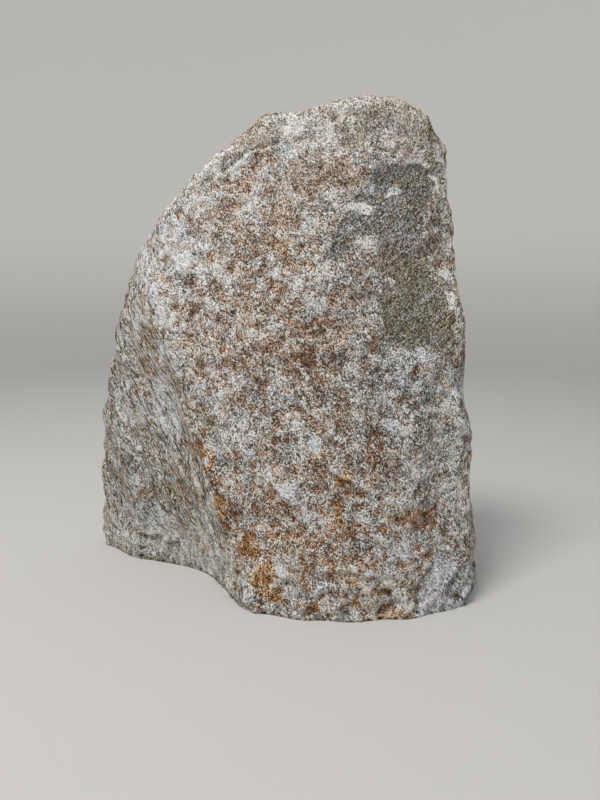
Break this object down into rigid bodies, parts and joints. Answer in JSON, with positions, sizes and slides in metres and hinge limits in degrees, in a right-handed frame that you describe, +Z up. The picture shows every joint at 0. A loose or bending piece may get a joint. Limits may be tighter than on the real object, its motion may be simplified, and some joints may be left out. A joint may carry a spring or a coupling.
{
  "type": "soapstone block",
  "caption": "Upright natural block of pale, rust-speckled foliated stone with a broad leaning front, a scooped left flank and a flat base.",
  "frame": {"origin": "middle of the flat base, at the centre of the bounding box's bottom face", "axes": "+Z up, +X to the right seen from the broad front, +Y towards the back; the front faces -Y"},
  "size_m": [0.33, 0.166, 0.376],
  "materials": {
    "stone": "rough, granular broken surface, pale grey with rust-brown and dark grey speckles and a smoother olive-green patch"
  },
  "bodies": {
    "root": {"stone": "stone"}
  },
  "joints": []
}
